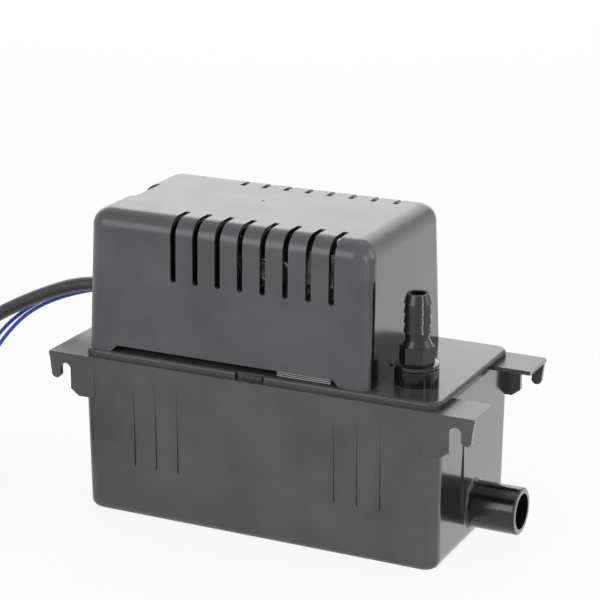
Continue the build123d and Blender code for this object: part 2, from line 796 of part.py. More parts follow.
fan_hub_r = 7.0
fan_web = 1.6
fan_blade_thick = 1.5
with BuildPart() as cooling_fan:
    with BuildSketch(Plane.XY.offset(fan_low_z)):
        with Locations((shaft_x, shaft_y)):
            Circle(fan_r)
    extrude(amount=fan_web)
    with BuildSketch(Plane.XY.offset(fan_low_z)):
        with Locations((shaft_x, shaft_y)):
            Circle(fan_hub_r)
            with PolarLocations((fan_r + fan_hub_r) / 2 - 0.5, fan_blades):
                Rectangle(fan_r - fan_hub_r + 1.0, fan_blade_thick, rotation=18)
    extrude(amount=fan_high)
    with BuildSketch(Plane.XY.offset(fan_low_z)):
        with Locations((shaft_x, shaft_y)):
            Circle(shaft_r + seat_clearance)
    extrude(amount=fan_high, mode=Mode.SUBTRACT)
keep("cooling_fan", cooling_fan)

# ---- Pump ----
eye_z = volute_low_z - volute_cover_thick
with BuildPart() as pump_housing:
    with BuildSketch(Plane.XY.offset(volute_low_z)):
        with Locations((shaft_x, shaft_y)):
            Circle(volute_r)
    extrude(amount=volute_high_z - volute_low_z)
    fillet(pump_housing.faces().sort_by(Axis.Z)[-1].edges(), 2.0)
    with BuildSketch(Plane.XY.offset(volute_high_z)):
        with Locations((shaft_x, shaft_y)):
            Circle(column_r)
    extrude(amount=lid_ceiling_z - volute_high_z)
    with BuildSketch(Plane.XY.offset(lid_ceiling_z - column_flange)):
        with Locations((shaft_x, shaft_y)):
            Circle(column_flange_r)
    extrude(amount=column_flange)
    # Outlet: a tangent pipe ending in a stub for the discharge tube
    outlet_shoulder_x = shaft_x + volute_r + 3.0
    outlet_tip_x = outlet_shoulder_x + outlet_tip_long
    with BuildSketch(Plane.YZ.offset(shaft_x)):
        with Locations((riser_y, outlet_z)):
            Circle(outlet_r)
    extrude(amount=outlet_shoulder_x - shaft_x)
    with BuildSketch(Plane.YZ.offset(outlet_shoulder_x)):
        with Locations((riser_y, outlet_z)):
            Circle(tube_bore_r)
    extrude(amount=outlet_tip_long)
    # Chamber, shaft passage and outlet bore
    with BuildSketch(Plane.XY.offset(volute_low_z)):
        with Locations((shaft_x, shaft_y)):
            Circle(volute_chamber_r)
    extrude(amount=volute_high_z - volute_roof - volute_low_z, mode=Mode.SUBTRACT)
    with BuildSketch(Plane.XY.offset(volute_low_z)):
        with Locations((shaft_x, shaft_y)):
            Circle(shaft_r + 1.0)
            with PolarLocations(volute_screw_ring, 3):
                Circle(screw_r + seat_clearance)
    extrude(amount=volute_high_z - volute_low_z, mode=Mode.SUBTRACT)
    with BuildSketch(Plane.XY.offset(volute_high_z)):
        with Locations((shaft_x, shaft_y)):
            Circle(column_bore_r)
            with PolarLocations(column_screw_ring, 3, start_angle=90):
                Circle(screw_r + screw_clearance)
    extrude(amount=lid_ceiling_z - volute_high_z, mode=Mode.SUBTRACT)
    with BuildSketch(Plane.YZ.offset(shaft_x - outlet_bore_r)):
        with Locations((riser_y, outlet_z)):
            Circle(outlet_bore_r)
    extrude(amount=outlet_tip_x - shaft_x + outlet_bore_r, mode=Mode.SUBTRACT)
    # Three tall windows let the column drain and the float chamber breathe
    with BuildSketch(Plane.XZ.offset(-shaft_y)):
        with Locations((shaft_x, (volute_high_z + lid_ceiling_z) / 2)):
            SlotOverall(36.0, 5.0, rotation=90)
    extrude(amount=2 * column_r, both=True, mode=Mode.SUBTRACT)
keep("pump_housing", pump_housing)

with BuildPart() as column_screws:
    with BuildSketch(Plane.XY.offset(lid_ceiling_z - column_flange)):
        with Locations((shaft_x, shaft_y)):
            with PolarLocations(column_screw_ring, 3, start_angle=90):
                Circle(screw_r)
    extrude(amount=column_flange + lid_top_z - lid_ceiling_z)
    with BuildSketch(Plane.XY.offset(lid_ceiling_z - column_flange - screw_head)):
        with Locations((shaft_x, shaft_y)):
            with PolarLocations(column_screw_ring, 3, start_angle=90):
                Circle(screw_head_r)
    extrude(amount=screw_head)
keep("column_screws", column_screws)

foot_r = 3.0
with BuildPart() as volute_cover:
    with BuildSketch(Plane.XY.offset(eye_z)):
        with Locations((shaft_x, shaft_y)):
            Circle(volute_r)
            Circle(eye_r, mode=Mode.SUBTRACT)
            with PolarLocations(volute_screw_ring, 3):
                Circle(screw_r + screw_clearance, mode=Mode.SUBTRACT)
    extrude(amount=volute_cover_thick)
    with BuildSketch(Plane.XY.offset(tank_floor + foot_gap)):
        with Locations((shaft_x, shaft_y)):
            with PolarLocations(volute_screw_ring, 3, start_angle=60):
                Circle(foot_r)
    extrude(amount=eye_z - tank_floor - foot_gap)
keep("volute_cover", volute_cover)

volute_screw_long = 10.0
with BuildPart() as volute_screws:
    with BuildSketch(Plane.XY.offset(eye_z)):
        with Locations((shaft_x, shaft_y)):
            with PolarLocations(volute_screw_ring, 3):
                Circle(screw_r)
    extrude(amount=volute_screw_long)
    with BuildSketch(Plane.XY.offset(eye_z - screw_head)):
        with Locations((shaft_x, shaft_y)):
            with PolarLocations(volute_screw_ring, 3):
                Circle(screw_head_r)
    extrude(amount=screw_head)
keep("volute_screws", volute_screws)

impeller_hub_r = 5.5
impeller_disc = 2.0
blade_thick = 1.4
# One swept-back blade, an arc of even thickness
with BuildSketch() as blade_outline:
    with BuildLine():
        ThreePointArc(
            (impeller_hub_r - 1.0, 0),
            (0.62 * impeller_r, 0.16 * impeller_r),
            (0.86 * impeller_r, 0.47 * impeller_r),
        )
    trace(line_width=blade_thick)

with BuildPart() as impeller:
    with BuildSketch(Plane.XY.offset(impeller_z[1] - impeller_disc)):
        with Locations((shaft_x, shaft_y)):
            Circle(impeller_r)
    extrude(amount=impeller_disc)
    with BuildSketch(Plane.XY.offset(impeller_z[0])):
        with Locations((shaft_x, shaft_y)):
            Circle(impeller_hub_r)
            with PolarLocations(0, impeller_blades):
                add(blade_outline.sketch)
    extrude(amount=impeller_z[1] - impeller_z[0] - impeller_disc)
    with BuildSketch(Plane.XY.offset(impeller_z[0])):
        with Locations((shaft_x, shaft_y)):
            Circle(shaft_r + seat_clearance)
    extrude(amount=impeller_z[1] - impeller_z[0], mode=Mode.SUBTRACT)
keep("impeller", impeller)

hose_low = (outlet_shoulder_x + seat_clearance, riser_y, outlet_z)
hose_top_z = lid_ceiling_z - seat_clearance
with BuildPart() as discharge_tube:
    with BuildLine() as hose_line:
        FilletPolyline(
            hose_low,
            (riser_x, riser_y, outlet_z),
            (riser_x, riser_y, hose_top_z),
            radius=hose_bend_r,
        )
    with BuildSketch(Plane(hose_low, z_dir=(1, 0, 0))):
        Circle(tube_bore_r + seat_clearance + hose_wall)
        Circle(tube_bore_r + seat_clearance, mode=Mode.SUBTRACT)
    sweep(path=hose_line.line)
keep("discharge_tube", discharge_tube)

# ---- Check valve ----
valve_axis = Axis((riser_x, riser_y, 0), (0, 0, 1))
with BuildPart() as valve_o_ring:
    with BuildSketch(Plane.XY.offset(riser_top_z)):
        with Locations((riser_x, riser_y)):
            Circle(flange_r - 0.5)
            Circle(socket_r + 0.2, mode=Mode.SUBTRACT)
    extrude(amount=oring_thick)
    fillet(valve_o_ring.edges(), 0.3)
keep("valve_o_ring", valve_o_ring)

stem_low_z = seat_z + 1.0
stem_r = socket_r - valve_clearance
stop_low_z = ball_rest_z + ball_r + ball_travel + seat_gap
chamber_top_z = stop_low_z + 2.8
barb_tip_r = barb_root_r - 0.6
with BuildPart() as check_valve_body:
    with BuildSketch(Plane.XZ.offset(-riser_y)):
        with BuildLine():
            outline = [
                (0, stem_low_z),
                (stem_r, stem_low_z),
                (stem_r, flange_low_z),
                (flange_r, flange_low_z),
                (flange_r, flange_high_z - 0.7),
                (hex_flats / 2, flange_high_z),
                (hex_flats / 2, hex_top_z),
                (neck_r, hex_top_z + shoulder_high),
                (neck_r, barb_low_z),
            ]
            for ring in range(barb_rings):
                ring_z = barb_low_z + ring * barb_pitch
                last = ring == barb_rings - 1
                outline += [
                    (barb_crest_r, ring_z + 0.3),
                    (barb_tip_r if last else barb_root_r, ring_z + barb_pitch),
                ]
            outline += [(0, barb_top_z), (0, stem_low_z)]
            Polyline(*[(riser_x + r, z) for r, z in outline])
        make_face()
    revolve(axis=valve_axis)
    with BuildSketch(Plane.XY.offset(flange_high_z)):
        with Locations((riser_x, riser_y)):
            RegularPolygon(hex_flats / 2, 6, major_radius=False, rotation=hex_turn)
    extrude(amount=hex_high)
    # Thumb lug on the flange
    with BuildSketch(Plane.XY.offset(flange_low_z)):
        with Locations(Location((riser_x, riser_y), lug_turn)):
            with Locations((lug_reach - lug_width / 2, 0)):
                Circle(lug_width / 2)
            with Locations(((lug_reach - lug_width / 2) / 2, 0)):
                Rectangle(lug_reach - lug_width / 2, lug_width)
    extrude(amount=flange_thick - 0.7)
    # Ball chamber, with three ribs as its stop, and the bore through the barb
    with BuildSketch(Plane.XY.offset(stem_low_z)):
        with Locations((riser_x, riser_y)):
            Circle(chamber_r)
    extrude(amount=stop_low_z - stem_low_z, mode=Mode.SUBTRACT)
    with BuildSketch(Plane.XY.offset(stop_low_z)):
        with Locations((riser_x, riser_y)):
            Circle(chamber_r)
            with PolarLocations(chamber_r - 1.5, 3):
                Rectangle(3.0, 1.6, mode=Mode.SUBTRACT)
    extrude(amount=chamber_top_z - stop_low_z, mode=Mode.SUBTRACT)
    with BuildSketch(Plane.XY.offset(chamber_top_z)):
        with Locations((riser_x, riser_y)):
            Circle(barb_bore_r)
    extrude(amount=barb_top_z - chamber_top_z, mode=Mode.SUBTRACT)
keep("check_valve_body", check_valve_body)

with BuildPart() as check_ball:
    with Locations((riser_x, riser_y, ball_rest_z)):
        Sphere(ball_r)
keep("check_ball", check_ball)

# ---- Float, rod and guide ----
rod_low_z = float_low_z + 0.6 * float_high
collar_r = 5.0
with BuildPart() as float_body:
    with BuildSketch(Plane.XY.offset(float_low_z)):
        with Locations((float_x, 0)):
            RectangleRounded(float_length, float_width, 7.0)
    extrude(amount=float_high)
    fillet(float_body.faces().group_by(Axis.Z)[0].edges(), 3.0)
    fillet(float_body.faces().group_by(Axis.Z)[-1].edges(), 3.0)
    with BuildSketch(Plane.XY.offset(rod_low_z)):
        with Locations((float_x, 0)):
            Circle(rod_r + seat_clearance)
    extrude(amount=float_high, mode=Mode.SUBTRACT)
keep("float", float_body)

with BuildPart() as float_rod:
    with BuildSketch(Plane.XY.offset(rod_low_z)):
        with Locations((float_x, 0)):
            Circle(rod_r)
    extrude(amount=rod_top_z - rod_low_z)
    chamfer(float_rod.faces().sort_by(Axis.Z)[-1].edges(), 0.5)
keep("float_rod", float_rod)

# Collars on the rod, one below and one above the fork of the switch lever
with BuildPart() as rod_collars:
    for collar_z in (tip_z - collar_gap - collar_thick, tip_z + collar_gap):
        with BuildSketch(Plane.XY.offset(collar_z)):
            with Locations((float_x, 0)):
                Circle(collar_r)
                Circle(rod_r + seat_clearance, mode=Mode.SUBTRACT)
        extrude(amount=collar_thick)
keep("rod_collars", rod_collars)

with BuildPart() as rod_guide:
    with BuildSketch(Plane.XY.offset(guide_low_z)):
        with Locations((float_x, 0)):
            Circle(guide_body_r)
    extrude(amount=lid_top_z - guide_low_z)
    with BuildSketch(Plane.XY.offset(lid_top_z)):
        with Locations((float_x, 0)):
            Circle(guide_flange_r)
    extrude(amount=guide_flange)
    fillet(rod_guide.faces().sort_by(Axis.Z)[-1].edges(), 0.6)
    with BuildSketch(Plane.XY.offset(guide_low_z)):
        with Locations((float_x, 0)):
            Circle(rod_r + guide_clearance)
    extrude(amount=lid_top_z + guide_flange - guide_low_z, mode=Mode.SUBTRACT)
keep("rod_guide", rod_guide)

# ---- Switches ----
switch_mid_x = -28.1
switch_hole_x = 11.1  # from the middle of a switch to its two screws
switch_hole_z = 5.15
switch_mid_z = switch_low_z + switch_high / 2
switch_screw_xz = [
    (switch_mid_x - switch_hole_x, switch_mid_z - switch_hole_z),
    (switch_mid_x + switch_hole_x, switch_mid_z + switch_hole_z),
]
pump_switch_y = (bracket_face_y - switch_split - switch_thick, bracket_face_y - switch_split)
safety_switch_y = (pump_switch_y[0] - switch_split - switch_thick, pump_switch_y[0] - switch_split)
plunger_x = pivot_x - plunger_arm
plunger_low_z = pivot_z + lever_thick / 2 / cos(radians(lever_rest)) - (
    plunger_arm - plunger_r
) * tan(radians(lever_rest)) + 0.1
plunger_travel = 2 * plunger_arm * sin(radians(lever_rest))
plunger_bore_z = switch_low_z + 2.5 + plunger_travel + 0.5
pin_end_y = safety_switch_y[0]
pin_hole_r = pin_r + pin_clearance
bracket_back_y = bracket_face_y + bracket_sheet

with BuildPart() as switch_bracket:
    bracket_long = bracket_x[1] - bracket_x[0]
    with BuildSketch(Plane.XZ.offset(-bracket_back_y)):
        with BuildLine():
            Polyline(
                (bracket_x[0], lid_top_z),
                (bracket_x[0], bracket_top_z - 4),
                (bracket_x[0] + 4, bracket_top_z),
                (bracket_x[1] - 4, bracket_top_z),
                (bracket_x[1], bracket_top_z - 4),
                (bracket_x[1], lid_top_z),
                (bracket_x[0], lid_top_z),
            )
        make_face()
        with Locations((pivot_x, pivot_z)):
            Circle(pin_r + seat_clearance, mode=Mode.SUBTRACT)
        with Locations(*switch_screw_xz):
            Circle(screw_r + screw_clearance, mode=Mode.SUBTRACT)
    extrude(amount=bracket_sheet)
    with BuildSketch(Plane.XY.offset(lid_top_z)):
        with Locations((sum(bracket_x) / 2, bracket_back_y + bracket_foot / 2)):
            Rectangle(bracket_long, bracket_foot)
        with Locations(*bracket_screw_xy):
            Circle(screw_r + screw_clearance, mode=Mode.SUBTRACT)
    extrude(amount=bracket_sheet)
keep("switch_bracket", switch_bracket)

with BuildPart() as bracket_screws:
    with BuildSketch(Plane.XY.offset(lid_ceiling_z)):
        with Locations(*bracket_screw_xy):
            Circle(screw_r)
    extrude(amount=lid_top_z + bracket_sheet - lid_ceiling_z)
    with BuildSketch(Plane.XY.offset(lid_top_z + bracket_sheet)):
        with Locations(*bracket_screw_xy):
            Circle(screw_head_r)
    extrude(amount=screw_head)
    fillet(bracket_screws.faces().group_by(Axis.Z)[-1].edges(), 0.5)
keep("bracket_screws", bracket_screws)

pin_head = 1.5
pin_head_r = 3.2
with BuildPart() as lever_pin:
    with BuildSketch(Plane.XZ.offset(-bracket_back_y)):
        with Locations((pivot_x, pivot_z)):
            Circle(pin_r)
    extrude(amount=bracket_back_y - pin_end_y)
    for head_y in (bracket_back_y + pin_head, pin_end_y):
        with BuildSketch(Plane.XZ.offset(-head_y)):
            with Locations((pivot_x, pivot_z)):
                Circle(pin_head_r)
        extrude(amount=pin_head)
keep("lever_pin", lever_pin)

# The lever: a hub on the pin, a wide paddle under both plungers, and a forked arm to the rod
lever_y = (pin_end_y + 0.3, bracket_face_y - 0.3)
arm_plane = Plane(
    origin=(pivot_x, 0, pivot_z),
    x_dir=(-cos(radians(lever_rest)), 0, -sin(radians(lever_rest))),
    z_dir=(-sin(radians(lever_rest)), 0, cos(radians(lever_rest))),
)
arm_long = lever_long / cos(radians(lever_rest))
paddle_long = plunger_arm + plunger_r + 3.0
with BuildPart() as switch_lever:
    with BuildSketch(Plane.XZ.offset(-lever_y[1])):
        with Locations((pivot_x, pivot_z)):
            Circle(lever_hub_r)
    extrude(amount=lever_y[1] - lever_y[0])
    with BuildSketch(arm_plane.offset(-lever_thick / 2)):
        with Locations((paddle_long / 2, -sum(lever_y) / 2)):
            Rectangle(paddle_long, lever_y[1] - lever_y[0])
        with Locations(((arm_long + 6) / 2, 0)):
            Rectangle(arm_long + 6, lever_width)
        with Locations((arm_long + 3, 0)):
            Rectangle(12.0 + 2 * rod_r, fork_slot, mode=Mode.SUBTRACT)
    extrude(amount=lever_thick)
    with BuildSketch(Plane.XZ.offset(-lever_y[1])):
        with Locations((pivot_x, pivot_z)):
            Circle(pin_hole_r)
    extrude(amount=lever_y[1] - lever_y[0], mode=Mode.SUBTRACT)
keep("switch_lever", switch_lever)

for switch_name, switch_y in (("pump_switch", pump_switch_y), ("safety_switch", safety_switch_y)):
    with BuildPart() as switch_body:
        with BuildSketch(Plane.XZ.offset(-switch_y[1])):
            with Locations((switch_mid_x, switch_mid_z)):
                RectangleRounded(switch_long, switch_high, 1.2)
            with Locations(*switch_screw_xz):
                Circle(screw_r + screw_clearance, mode=Mode.SUBTRACT)
        extrude(amount=switch_thick)
        with BuildSketch(Plane.XY.offset(switch_low_z)):
            with Locations((plunger_x, sum(switch_y) / 2)):
                Circle(plunger_r + seat_clearance)
        extrude(amount=plunger_bore_z + plunger_travel - switch_low_z, mode=Mode.SUBTRACT)
    keep(switch_name, switch_body)

for plunger_name, switch_y in (
    ("pump_plunger", pump_switch_y),
    ("safety_plunger", safety_switch_y),
):
    with BuildPart() as plunger:
        with BuildSketch(Plane.XY.offset(plunger_low_z)):
            with Locations((plunger_x, sum(switch_y) / 2)):
                Circle(plunger_r)
        extrude(amount=plunger_bore_z - plunger_low_z - 0.3)
        fillet(plunger.faces().sort_by(Axis.Z)[0].edges(), 0.5)
    keep(plunger_name, plunger)

terminal_x = [switch_mid_x + step for step in (-10.0, 0.0, 10.0)]
terminal_high = 6.5
terminal_top_z = switch_low_z + switch_high + terminal_high
with BuildPart() as switch_terminals:
    with Locations(
        *[
            (x, sum(switch_y) / 2, switch_low_z + switch_high)
            for x in terminal_x
            for switch_y in (pump_switch_y, safety_switch_y)
        ]
    ):
        Box(4.8, 0.8, terminal_high, align=(Align.CENTER, Align.CENTER, Align.MIN))
keep("switch_terminals", switch_terminals)

with BuildPart() as switch_screws:
    with BuildSketch(Plane.XZ.offset(-bracket_back_y - 1.0)):
        with Locations(*switch_screw_xz):
            Circle(screw_r)
    extrude(amount=bracket_back_y + 1.0 - safety_switch_y[0])
    with BuildSketch(Plane.XZ.offset(-safety_switch_y[0])):
        with Locations(*switch_screw_xz):
            Circle(screw_head_r)
    extrude(amount=screw_head)
keep("switch_screws", switch_screws)

# ---- Strain relief, grommet and inside wires ----
lock_thick = 2.0
relief_in_x = recess_back_x + lock_thick
with BuildPart() as strain_relief:
    with BuildSketch(Plane.XZ):
        with BuildLine():
            flange_x = recess_face_x - relief_flange_thick
            outline = [
                (relief_in_x, 0),
                (relief_in_x, relief_lock_r),
                (recess_back_x, relief_lock_r),
                (recess_back_x, relief_neck_r),
                (recess_face_x, relief_neck_r),
                (recess_face_x, relief_flange_r),
                (flange_x, relief_flange_r),
            ]
            # Flexing grooves down the taper
            ribs = 5
            rib_pitch = (flange_x - relief_end_x) / ribs
            for rib in range(ribs):
                rib_x = flange_x - rib * rib_pitch
                rib_r = relief_neck_r + (relief_tip_r - relief_neck_r) * (rib + 1) / ribs
                outline += [
                    (rib_x, rib_r - 0.6),
                    (rib_x - 0.35 * rib_pitch, rib_r - 0.6),
                    (rib_x - 0.35 * rib_pitch, rib_r),
                    (rib_x - rib_pitch, rib_r),
                ]
            outline += [(relief_end_x, 0), (relief_in_x, 0)]
            Polyline(*[(x, cord_exit_z + r) for x, r in outline])
        make_face()
    revolve(axis=Axis((0, 0, cord_exit_z), (1, 0, 0)))
keep("strain_relief", strain_relief)

grommet_out_x = recess_face_x - grommet_out
with BuildPart() as lead_grommet:
    for slab_x, slab_thick, slab_r in (
        (grommet_out_x, grommet_out, grommet_r),
        (recess_face_x, cover_wall, grommet_neck_r),
        (recess_back_x, lock_thick, grommet_r),
    ):
        with BuildSketch(Plane.YZ.offset(slab_x)):
            with Locations((lead_y, lead_mid_z)):
                SlotCenterToCenter(lead_gap, 2 * slab_r, rotation=90)
        extrude(amount=slab_thick)
keep("lead_grommet", lead_grommet)

wire_r = 1.1
wire_routes = {
    "earth_wire": [
        (relief_in_x, -3.6, cord_exit_z - 1.5), (-82, -3.6, cord_exit_z - 1.5),
        (-75, -16, 112), (-58, -28, 105), (-30, -31, 103), (-8, -22, 108),
        (-6.5, -15, 117), (stack_x[0], -15, 117),
    ],
    "neutral_wire": [
        (relief_in_x, 3.6, cord_exit_z - 1.5), (-82, 3.6, cord_exit_z - 1.5),
        (-75, 16, 114), (-60, 31, 107), (-36, 37, 103), (-12, 40, 108), (2, 43, 118),
        (coil_mid_x - coil_half_x - bobbin_wall, 43, 118),
    ],
    "live_wire": [
        (relief_in_x, 0, cord_exit_z + 4.5), (-82, 0, cord_exit_z + 4.5), (-77, 13, 130),
        (-64, 19, 143), (-50, 14, 153), (terminal_x[0], sum(pump_switch_y) / 2, 157),
        (terminal_x[0], sum(pump_switch_y) / 2, terminal_top_z),
    ],
}
for wire_name, route in wire_routes.items():
    with BuildPart() as wire:
        with BuildLine() as wire_line:
            cord_path(wire_name, route)
        with BuildSketch(start_plane(route)):
            Circle(wire_r)
        sweep(path=wire_line.line)
    keep(wire_name, wire)

# ---- Power cord ----
turn_r = coil_turn_r[1]
entry_turn = radians(coil_entry - 90)
entry_x = coil_x + turn_r * cos(entry_turn)
entry_y = coil_y + turn_r * sin(entry_turn)
entry_x_step, entry_y_step = cos(radians(coil_entry)), sin(radians(coil_entry))
stub_x = entry_x - coil_stub * entry_x_step
stub_y = entry_y - coil_stub * entry_y_step
last_run = 25.3  # straight run before the stub, in line with it
landing_x = stub_x - last_run * entry_x_step
landing_y = stub_y - last_run * entry_y_step
cord_route = [
    (relief_end_x, 0, cord_exit_z), (-136, 0, cord_exit_z), (-166, 0, 107), (-203, 0, 87.8),
    (-223.7, 4.5, 71.4), (-243.1, 8.5, 53.6), (-258.8, 4.2, 33.1), (-269, -11.3, 15.2),
    (landing_x, landing_y, cord_r), (stub_x, stub_y, cord_r),
]
with BuildPart() as power_cord_tube:
    with BuildLine() as cord_line:
        cord_path("power cord", cord_route)
    with BuildSketch(start_plane(cord_route)):
        Circle(cord_r)
    sweep(path=cord_line.line)
cord_long = sum(edge.length for edge in cord_line.edges())
print("cord tube volume", round(power_cord_tube.part.volume), "of", round(pi * cord_r**2 * cord_long))
keep("power_cord_tube", power_cord_tube)

plug_tail_z = cord_r * 3
tail_y = coil_y - turn_r
stub_r = cord_r - seat_clearance
with BuildPart() as power_cord_coil:
    with BuildSketch(Plane.XY):
        with Locations((coil_x, coil_y)):
            Circle(coil_outer_r)
            Circle(coil_inner_r, mode=Mode.SUBTRACT)
    extrude(amount=coil_high)
    with BuildSketch(Plane((stub_x, stub_y, cord_r), z_dir=(entry_x - stub_x, entry_y - stub_y, 0))):
        Circle(stub_r)
    extrude(amount=coil_stub)
    with BuildSketch(Plane((coil_x, tail_y, plug_tail_z), z_dir=(1, 0, 0))):
        Circle(stub_r)
    extrude(amount=plug_tail)
keep("power_cord_coil", power_cord_coil)

# ---- Plug: a blunt moulded body on a tapered relief, two flat blades and a round earth pin ----
plug_x = coil_x + plug_tail
plug_face_x = plug_x + plug_relief + plug_long
grip_x = plug_face_x - 14.0
with BuildPart() as plug_body:
    with BuildSketch(Plane.XZ.offset(-tail_y)):
        with BuildLine():
            outline = [
                (plug_x, 0),
                (plug_x, cord_r + 1.0),
                (plug_x + plug_relief, cord_r + 2.4),
                (plug_x + plug_relief + 5, plug_r - 2.5),
                (grip_x, plug_r - 1.2),
                (grip_x + 2, plug_r),
                (plug_face_x, plug_r),
                (plug_face_x, 0),
                (plug_x, 0),
            ]
            Polyline(*[(x, plug_tail_z + r) for x, r in outline])
        make_face()
    revolve(axis=Axis((0, tail_y, plug_tail_z), (1, 0, 0)))
keep("plug_body", plug_body)

with BuildPart() as plug_blades:
    with BuildSketch(Plane.YZ.offset(plug_face_x)):
        for side in (-1, 1):
            with Locations((tail_y + side * blade_apart / 2, plug_tail_z + blade_rise)):
                Rectangle(1.5, 6.3)
    extrude(amount=blade_long)
keep("plug_blades", plug_blades)

with BuildPart() as plug_ground_pin:
    with BuildSketch(Plane.YZ.offset(plug_face_x)):
        with Locations((tail_y, plug_tail_z + blade_rise - ground_drop)):
            Circle(2.4)
    extrude(amount=blade_long + 3.0)
    fillet(plug_ground_pin.faces().sort_by(Axis.X)[-1].edges(), 1.5)
keep("plug_ground_pin", plug_ground_pin)

# ---- Safety leads: two limp wires with bare ends ----
lead_routes = {
    "safety_lead_a": [
        (grommet_out_x, lead_y, lead_z[0]), (-115, lead_y, lead_z[0]), (-152, 9.5, 110.5),
        (-184, 11, 93.5), (-206, 13, 75.5), (-223, 17, 54), (-234, 22, 31), (-242, 29, 11),
        (-252, 39, lead_r), (-266, 45, lead_r),
    ],
    "safety_lead_b": [
        (grommet_out_x, lead_y, lead_z[1]), (-116, lead_y, lead_z[1]), (-150, 8.5, 107.5),
        (-181, 8, 93), (-202, 9, 72.5), (-219, 12, 49), (-232, 14.5, 27), (-243, 16.5, 9),
        (-256, 20, lead_r), (-265, 30, lead_r),
    ],
}
for lead_name, route in lead_routes.items():
    with BuildPart() as lead:
        with BuildLine() as lead_line:
            cord_path(lead_name, route)
        with BuildSketch(start_plane(route)):
            Circle(lead_r)
        sweep(path=lead_line.line)
    keep(lead_name, lead)

with BuildPart() as lead_bare_ends:
    for route in lead_routes.values():
        last, end = Vector(*route[-2]), Vector(*route[-1])
        with BuildSketch(Plane(end, z_dir=end - last)):
            Circle(bare_r)
        extrude(amount=bare_long)
keep("lead_bare_ends", lead_bare_ends)
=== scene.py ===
import json
import math

import bmesh
import bpy
from mathutils import Matrix, Vector


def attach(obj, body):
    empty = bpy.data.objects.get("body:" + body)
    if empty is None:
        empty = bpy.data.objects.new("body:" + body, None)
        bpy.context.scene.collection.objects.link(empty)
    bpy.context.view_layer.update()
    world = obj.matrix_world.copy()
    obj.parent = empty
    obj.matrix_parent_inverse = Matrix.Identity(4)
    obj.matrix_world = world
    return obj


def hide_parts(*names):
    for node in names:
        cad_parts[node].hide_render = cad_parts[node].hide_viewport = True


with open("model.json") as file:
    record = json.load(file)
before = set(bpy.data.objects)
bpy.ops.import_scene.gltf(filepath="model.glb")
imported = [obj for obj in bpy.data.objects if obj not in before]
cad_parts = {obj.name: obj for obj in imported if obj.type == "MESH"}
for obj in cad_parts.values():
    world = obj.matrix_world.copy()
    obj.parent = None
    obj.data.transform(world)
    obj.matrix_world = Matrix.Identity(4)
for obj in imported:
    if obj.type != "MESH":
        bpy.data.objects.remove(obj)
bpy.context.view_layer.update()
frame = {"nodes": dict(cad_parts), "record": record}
record = frame["record"]
scene = bpy.context.scene
mm = 0.001


# One shader socket that can be used in ordinary arithmetic
class Wire:
    def __init__(self, tree, socket):
        self.tree = tree
        self.socket = socket

    def calc(self, operation, *inputs):
        return self.tree.add("ShaderNodeMath", {"operation": operation}, dict(enumerate(inputs)))

    def __add__(self, other):
        return self.calc("ADD", self, other)

    def __sub__(self, other):
        return self.calc("SUBTRACT", self, other)

    def __rsub__(self, other):
        return self.calc("SUBTRACT", other, self)

    def __mul__(self, other):
        return self.calc("MULTIPLY", self, other)

    def __gt__(self, other):
        return self.calc("GREATER_THAN", self, other)

    def __lt__(self, other):
        return self.calc("LESS_THAN", self, other)

    def __abs__(self):
        return self.calc("ABSOLUTE", self)

    def larger(self, other):
        return self.calc("MAXIMUM", self, other)

    __radd__ = __add__
    __rmul__ = __mul__


# The nodes of a material or of the world, added one call at a time
class Recipe:
    def __init__(self, owner):
        self.owner = owner
        owner.use_nodes = True
        self.nodes, self.links = owner.node_tree.nodes, owner.node_tree.links
        self.nodes.clear()

    def add(self, kind, settings=None, inputs=None, output=0):
        node = self.nodes.new(kind)
        for key, value in (settings or {}).items():
            setattr(node, key, value)
        for key, value in (inputs or {}).items():
            if isinstance(value, Wire):
                self.links.new(value.socket, node.inputs[key])
            else:
                node.inputs[key].default_value = value
        return Wire(self, node.outputs[output]) if len(node.outputs) else None

    def place(self):
        return self.add("ShaderNodeTexCoord", output="Object")

    def ray(self, kind):
        return self.add("ShaderNodeLightPath", output=kind)

    def noise(self, scale, detail=3.0, roughness=0.5, where=None):
        return self.add(
            "ShaderNodeTexNoise", {},
            {"Vector": where or self.place(), "Scale": scale, "Detail": detail, "Roughness": roughness},
        )

    def stretch(self, where, size):
        return self.add("ShaderNodeMapping", {}, {"Vector": where, "Scale": size})

    def blend(self, factor, first, second):
        inputs = {"Factor": factor}
        inputs[6], inputs[7] = first, second
        return self.add("ShaderNodeMix", {"data_type": "RGBA"}, inputs, 2)

    def range(self, value, low, high, fromLow=0.0, fromHigh=1.0):
        return self.add(
            "ShaderNodeMapRange", {},
            {"Value": value, "From Min": fromLow, "From Max": fromHigh, "To Min": low, "To Max": high},
        )

    def bump(self, height, distance, strength=1.0):
        return self.add(
            "ShaderNodeBump", {}, {"Height": height, "Distance": distance, "Strength": strength}
        )

    # A cloudy colour, from a darker to a lighter tint of one shade
    def mottled(self, cloud, colour, dark, light, low=0.3, high=0.7):
        return self.blend(self.range(cloud, 0, 1, low, high), tint(colour, dark), tint(colour, light))

    def finish(self, inputs):
        shader = self.add("ShaderNodeBsdfPrincipled", {}, inputs)
        self.add("ShaderNodeOutputMaterial", {}, {"Surface": shader})
        return self.owner


def grey(level):
    return (level, level, level, 1)


def tint(colour, by):
    return tuple(min(1, c * by) for c in colour[:3]) + (1,)


